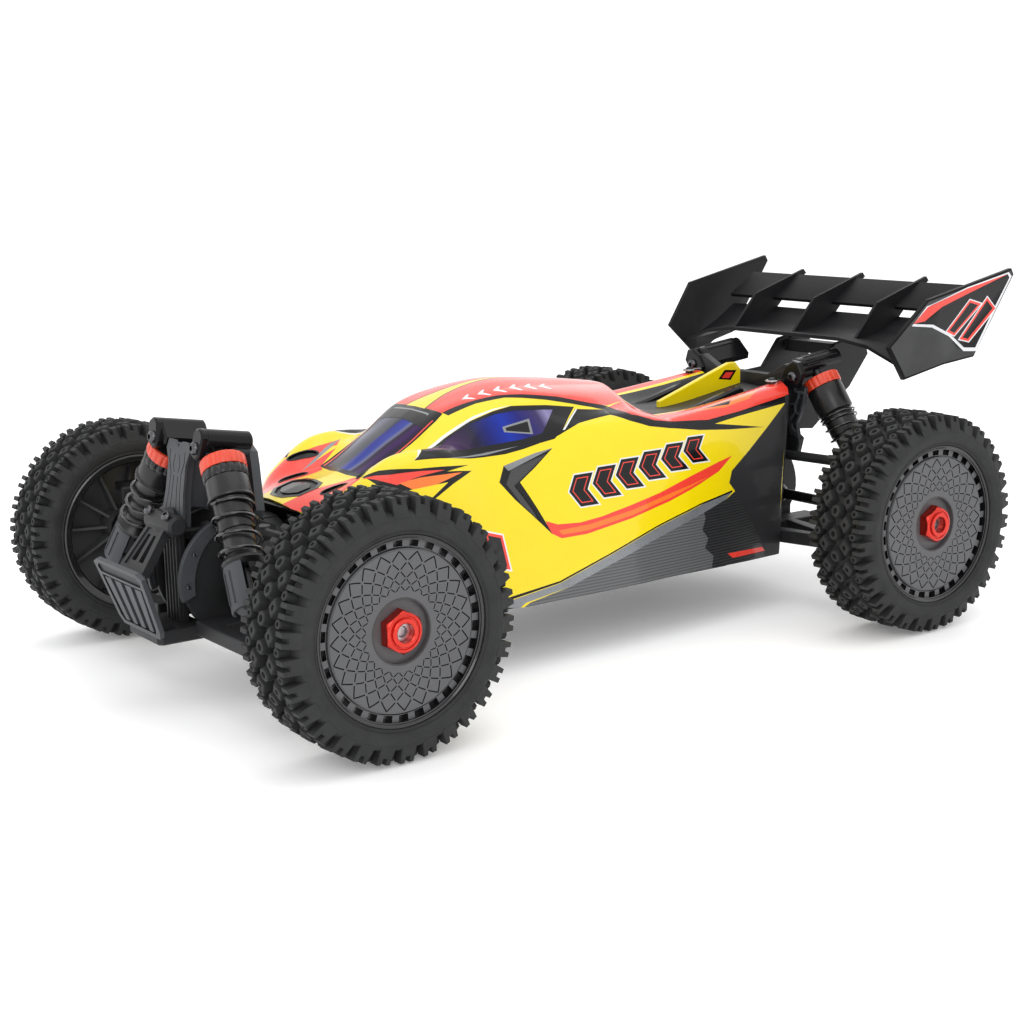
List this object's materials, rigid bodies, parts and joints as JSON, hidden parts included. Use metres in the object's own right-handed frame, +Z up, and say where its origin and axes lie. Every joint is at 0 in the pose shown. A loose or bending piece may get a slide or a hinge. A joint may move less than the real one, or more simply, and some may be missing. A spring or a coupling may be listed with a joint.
{
  "type": "rc buggy",
  "caption": "Four-wheel-drive off-road radio control racing buggy with painted shell, rear wing, pin-tread tyres and oil-filled coil-over shocks.",
  "frame": {"origin": "on the ground, below the middle of the bounding box", "axes": "+X is forward, +Y is the buggy's left, +Z is up"},
  "size_m": [0.504, 0.3068, 0.1815],
  "materials": {
    "tyre": "matte moulded rubber",
    "rim_plastic": "moulded, satin",
    "red_anodised": "anodised red",
    "steel": "machined",
    "suspension_plastic": "moulded glass-filled nylon",
    "grey_plastic": "moulded, satin",
    "shock_metal": "anodised black, satin",
    "hub_metal": "anodised black",
    "housing_plastic": "moulded",
    "chassis_metal": "anodised black, brushed",
    "motor_metal": "anodised black, finned",
    "electronics_case": "gloss",
    "battery_wrap": "shrink wrap",
    "wing_plastic": "moulded, satin",
    "shell_paint": "painted clear shell, gloss",
    "spring_steel": "gloss black coated",
    "shock_cap_orange": "moulded, ribbed",
    "decal_film": "printed film",
    "screw_steel": "black oxide"
  },
  "bodies": {
    "chassis": {"chassis_plate": "chassis_metal", "left_side_guard": "suspension_plastic", "right_side_guard": "suspension_plastic", "front_gearbox": "housing_plastic", "rear_gearbox": "housing_plastic", "centre_gearbox": "housing_plastic", "motor": "motor_metal", "battery": "battery_wrap", "speed_controller": "electronics_case", "steering_servo": "electronics_case", "front_shock_tower": "grey_plastic", "rear_shock_tower": "suspension_plastic", "front_bumper": "grey_plastic", "bumper_brace": "suspension_plastic", "wing_mount": "suspension_plastic", "wing": "wing_plastic"},
    "shell": {"body_shell": "shell_paint"},
    "steering_rack": {"steering_rack": "suspension_plastic"},
    "front_centre_shaft": {"front_centre_driveshaft": "steel"},
    "rear_centre_shaft": {"rear_centre_driveshaft": "steel"},
    "front_left_arm": {"front_left_lower_arm": "suspension_plastic"},
    "front_left_carrier": {"front_left_hub_carrier": "suspension_plastic"},
    "front_left_knuckle": {"front_left_knuckle": "hub_metal"},
    "front_left_wheel": {"front_left_tyre": "tyre", "front_left_rim": "rim_plastic", "front_left_wheel_nut": "red_anodised"},
    "front_left_driveshaft": {"front_left_driveshaft": "steel"},
    "front_left_upper_link": {"front_left_upper_link": "suspension_plastic"},
    "front_left_shock_body": {"front_left_shock_body": "shock_metal"},
    "front_left_shock_rod": {"front_left_shock_rod": "grey_plastic"},
    "left_tie_rod": {"left_tie_rod": "steel"},
    "front_right_arm": {"front_right_lower_arm": "suspension_plastic"},
    "front_right_carrier": {"front_right_hub_carrier": "suspension_plastic"},
    "front_right_knuckle": {"front_right_knuckle": "hub_metal"},
    "front_right_wheel": {"front_right_tyre": "tyre", "front_right_rim": "rim_plastic", "front_right_wheel_nut": "red_anodised"},
    "front_right_driveshaft": {"front_right_driveshaft": "steel"},
    "front_right_upper_link": {"front_right_upper_link": "suspension_plastic"},
    "front_right_shock_body": {"front_right_shock_body": "shock_metal"},
    "front_right_shock_rod": {"front_right_shock_rod": "grey_plastic"},
    "right_tie_rod": {"right_tie_rod": "steel"},
    "rear_left_arm": {"rear_left_lower_arm": "suspension_plastic"},
    "rear_left_hub": {"rear_left_hub": "suspension_plastic"},
    "rear_left_wheel": {"rear_left_tyre": "tyre", "rear_left_rim": "rim_plastic", "rear_left_wheel_nut": "red_anodised"},
    "rear_left_driveshaft": {"rear_left_driveshaft": "steel"},
    "rear_left_upper_link": {"rear_left_upper_link": "suspension_plastic"},
    "rear_left_shock_body": {"rear_left_shock_body": "shock_metal"},
    "rear_left_shock_rod": {"rear_left_shock_rod": "grey_plastic"},
    "rear_right_arm": {"rear_right_lower_arm": "suspension_plastic"},
    "rear_right_hub": {"rear_right_hub": "suspension_plastic"},
    "rear_right_wheel": {"rear_right_tyre": "tyre", "rear_right_rim": "rim_plastic", "rear_right_wheel_nut": "red_anodised"},
    "rear_right_driveshaft": {"rear_right_driveshaft": "steel"},
    "rear_right_upper_link": {"rear_right_upper_link": "suspension_plastic"},
    "rear_right_shock_body": {"rear_right_shock_body": "shock_metal"},
    "rear_right_shock_rod": {"rear_right_shock_rod": "grey_plastic"}
  },
  "joints": [
    {"name": "shell_lift", "type": "slide", "parent": "chassis", "child": "shell", "axis": [0, 0, 1], "range_m": [0, 0.16]},
    {"name": "front_left_arm_swing", "type": "hinge", "parent": "chassis", "child": "front_left_arm", "pos_m": [0.19, 0.024, 0.038], "axis": [1, 0, 0], "range_deg": [-12, 13], "stiffness_Nm_per_rad": 4, "springref_deg": -9.74},
    {"name": "front_left_carrier_hinge", "type": "hinge", "parent": "front_left_arm", "child": "front_left_carrier", "pos_m": [0.19, 0.1, 0.038], "axis": [1, 0, 0], "range_deg": [-14, 13]},
    {"name": "front_left_upper_link_swing", "type": "hinge", "parent": "chassis", "child": "front_left_upper_link", "pos_m": [0.19, 0.028, 0.08], "axis": [1, 0, 0], "range_deg": [-13, 14]},
    {"name": "front_left_driveshaft_swing", "type": "hinge", "parent": "chassis", "child": "front_left_driveshaft", "pos_m": [0.19, 0.03, 0.0576], "axis": [1, 0, 0], "range_deg": [-11, 13]},
    {"name": "front_left_shock_swing", "type": "hinge", "parent": "chassis", "child": "front_left_shock_body", "pos_m": [0.20728, 0.024, 0.12048], "axis": [0.9877, 0, 0.1564], "range_deg": [-3.33, 3.56]},
    {"name": "front_left_shock_stroke", "type": "slide", "parent": "front_left_shock_body", "child": "front_left_shock_rod", "axis": [0.1275, 0.5791, -0.8052], "range_m": [-0.0114, 0.0106]},
    {"name": "front_left_steer", "type": "hinge", "parent": "front_left_carrier", "child": "front_left_knuckle", "pos_m": [0.19, 0.118, 0.0576], "axis": [0, 0, 1], "range_deg": [-22, 22]},
    {"name": "left_tie_rod_swing", "type": "hinge", "parent": "steering_rack", "child": "left_tie_rod", "pos_m": [0.162, 0.0266, 0.069], "axis": [1, 0, 0], "range_deg": [-12, 14]},
    {"name": "front_left_wheel_spin", "type": "hinge", "parent": "front_left_knuckle", "child": "front_left_wheel", "pos_m": [0.19, 0.1324, 0.0576], "axis": [0, 1, 0], "continuous": true},
    {"name": "front_right_arm_swing", "type": "hinge", "parent": "chassis", "child": "front_right_arm", "pos_m": [0.19, -0.024, 0.038], "axis": [-1, 0, 0], "range_deg": [-12, 13], "stiffness_Nm_per_rad": 4, "springref_deg": -9.74},
    {"name": "front_right_carrier_hinge", "type": "hinge", "parent": "front_right_arm", "child": "front_right_carrier", "pos_m": [0.19, -0.1, 0.038], "axis": [-1, 0, 0], "range_deg": [-14, 13]},
    {"name": "front_right_upper_link_swing", "type": "hinge", "parent": "chassis", "child": "front_right_upper_link", "pos_m": [0.19, -0.028, 0.08], "axis": [-1, 0, 0], "range_deg": [-13, 14]},
    {"name": "front_right_driveshaft_swing", "type": "hinge", "parent": "chassis", "child": "front_right_driveshaft", "pos_m": [0.19, -0.03, 0.0576], "axis": [-1, 0, 0], "range_deg": [-11, 13]},
    {"name": "front_right_shock_swing", "type": "hinge", "parent": "chassis", "child": "front_right_shock_body", "pos_m": [0.20728, -0.024, 0.12048], "axis": [-0.9877, 0, -0.1564], "range_deg": [-3.33, 3.56]},
    {"name": "front_right_shock_stroke", "type": "slide", "parent": "front_right_shock_body", "child": "front_right_shock_rod", "axis": [0.1275, -0.5791, -0.8052], "range_m": [-0.0114, 0.0106]},
    {"name": "front_right_steer", "type": "hinge", "parent": "front_right_carrier", "child": "front_right_knuckle", "pos_m": [0.19, -0.118, 0.0576], "axis": [0, 0, 1], "range_deg": [-22.5, 22.5]},
    {"name": "right_tie_rod_swing", "type": "hinge", "parent": "steering_rack", "child": "right_tie_rod", "pos_m": [0.162, -0.0266, 0.069], "axis": [-1, 0, 0], "range_deg": [-12, 14]},
    {"name": "front_right_wheel_spin", "type": "hinge", "parent": "front_right_knuckle", "child": "front_right_wheel", "pos_m": [0.19, -0.1324, 0.0576], "axis": [0, 1, 0], "continuous": true},
    {"name": "rear_left_arm_swing", "type": "hinge", "parent": "chassis", "child": "rear_left_arm", "pos_m": [-0.138, 0.024, 0.038], "axis": [1, 0, 0], "range_deg": [-12, 13], "stiffness_Nm_per_rad": 4, "springref_deg": -9.74},
    {"name": "rear_left_hub_hinge", "type": "hinge", "parent": "rear_left_arm", "child": "rear_left_hub", "pos_m": [-0.138, 0.1, 0.038], "axis": [1, 0, 0], "range_deg": [-14, 13]},
    {"name": "rear_left_upper_link_swing", "type": "hinge", "parent": "chassis", "child": "rear_left_upper_link", "pos_m": [-0.138, 0.028, 0.08], "axis": [1, 0, 0], "range_deg": [-13, 14]},
    {"name": "rear_left_driveshaft_swing", "type": "hinge", "parent": "chassis", "child": "rear_left_driveshaft", "pos_m": [-0.138, 0.03, 0.0576], "axis": [1, 0, 0], "range_deg": [-11, 13]},
    {"name": "rear_left_shock_swing", "type": "hinge", "parent": "chassis", "child": "rear_left_shock_body", "pos_m": [-0.15697, 0.041, 0.12699], "axis": [-0.9936, 0, 0.1132], "range_deg": [-3.97, 3.7]},
    {"name": "rear_left_shock_stroke", "type": "slide", "parent": "rear_left_shock_body", "child": "rear_left_shock_rod", "axis": [-0.0965, 0.5223, -0.8473], "range_m": [-0.0144, 0.0133]},
    {"name": "rear_left_wheel_spin", "type": "hinge", "parent": "rear_left_hub", "child": "rear_left_wheel", "pos_m": [-0.138, 0.1311, 0.0576], "axis": [0, 1, 0], "continuous": true},
    {"name": "rear_right_arm_swing", "type": "hinge", "parent": "chassis", "child": "rear_right_arm", "pos_m": [-0.138, -0.024, 0.038], "axis": [-1, 0, 0], "range_deg": [-12, 13], "stiffness_Nm_per_rad": 4, "springref_deg": -9.74},
    {"name": "rear_right_hub_hinge", "type": "hinge", "parent": "rear_right_arm", "child": "rear_right_hub", "pos_m": [-0.138, -0.1, 0.038], "axis": [-1, 0, 0], "range_deg": [-14, 13]},
    {"name": "rear_right_upper_link_swing", "type": "hinge", "parent": "chassis", "child": "rear_right_upper_link", "pos_m": [-0.138, -0.028, 0.08], "axis": [-1, 0, 0], "range_deg": [-13, 14]},
    {"name": "rear_right_driveshaft_swing", "type": "hinge", "parent": "chassis", "child": "rear_right_driveshaft", "pos_m": [-0.138, -0.03, 0.0576], "axis": [-1, 0, 0], "range_deg": [-11, 13]},
    {"name": "rear_right_shock_swing", "type": "hinge", "parent": "chassis", "child": "rear_right_shock_body", "pos_m": [-0.15697, -0.041, 0.12699], "axis": [0.9936, 0, -0.1132], "range_deg": [-3.97, 3.7]},
    {"name": "rear_right_shock_stroke", "type": "slide", "parent": "rear_right_shock_body", "child": "rear_right_shock_rod", "axis": [-0.0965, -0.5223, -0.8473], "range_m": [-0.0144, 0.0133]},
    {"name": "rear_right_wheel_spin", "type": "hinge", "parent": "rear_right_hub", "child": "rear_right_wheel", "pos_m": [-0.138, -0.1311, 0.0576], "axis": [0, 1, 0], "continuous": true},
    {"name": "steering_rack_slide", "type": "slide", "parent": "chassis", "child": "steering_rack", "axis": [0, 1, 0], "range_m": [-0.0112, 0.0112]},
    {"name": "front_centre_shaft_spin", "type": "hinge", "parent": "chassis", "child": "front_centre_shaft", "pos_m": [0.1, 0, 0.05], "axis": [1, 0, 0], "continuous": true},
    {"name": "rear_centre_shaft_spin", "type": "hinge", "parent": "chassis", "child": "rear_centre_shaft", "pos_m": [-0.059, 0, 0.05], "axis": [1, 0, 0], "continuous": true}
  ],
  "couplings": [
    {"joint": "front_left_carrier_hinge", "follows": "front_left_arm_swing", "ratio": -1},
    {"joint": "front_left_upper_link_swing", "follows": "front_left_arm_swing", "ratio": 1},
    {"joint": "front_left_driveshaft_swing", "follows": "front_left_arm_swing", "ratio": 0.8636},
    {"joint": "front_left_shock_swing", "follows": "front_left_arm_swing", "ratio": 0.23571},
    {"joint": "front_left_shock_stroke", "follows": "front_left_arm_swing", "m_per_rad": -0.04809},
    {"joint": "left_tie_rod_swing", "follows": "front_left_arm_swing", "ratio": 0.9453},
    {"joint": "front_right_carrier_hinge", "follows": "front_right_arm_swing", "ratio": -1},
    {"joint": "front_right_upper_link_swing", "follows": "front_right_arm_swing", "ratio": 1},
    {"joint": "front_right_driveshaft_swing", "follows": "front_right_arm_swing", "ratio": 0.8636},
    {"joint": "front_right_shock_swing", "follows": "front_right_arm_swing", "ratio": 0.23571},
    {"joint": "front_right_shock_stroke", "follows": "front_right_arm_swing", "m_per_rad": -0.04809},
    {"joint": "front_right_steer", "follows": "front_left_steer", "ratio": 1},
    {"joint": "right_tie_rod_swing", "follows": "front_right_arm_swing", "ratio": 0.9453},
    {"joint": "rear_left_hub_hinge", "follows": "rear_left_arm_swing", "ratio": -1},
    {"joint": "rear_left_upper_link_swing", "follows": "rear_left_arm_swing", "ratio": 1},
    {"joint": "rear_left_driveshaft_swing", "follows": "rear_left_arm_swing", "ratio": 0.8636},
    {"joint": "rear_left_shock_swing", "follows": "rear_left_arm_swing", "ratio": -0.26708},
    {"joint": "rear_left_shock_stroke", "follows": "rear_left_arm_swing", "m_per_rad": -0.061239},
    {"joint": "rear_right_hub_hinge", "follows": "rear_right_arm_swing", "ratio": -1},
    {"joint": "rear_right_upper_link_swing", "follows": "rear_right_arm_swing", "ratio": 1},
    {"joint": "rear_right_driveshaft_swing", "follows": "rear_right_arm_swing", "ratio": 0.8636},
    {"joint": "rear_right_shock_swing", "follows": "rear_right_arm_swing", "ratio": -0.26708},
    {"joint": "rear_right_shock_stroke", "follows": "rear_right_arm_swing", "m_per_rad": -0.061239},
    {"joint": "steering_rack_slide", "follows": "front_left_steer", "m_per_rad": -0.028}
  ]
}
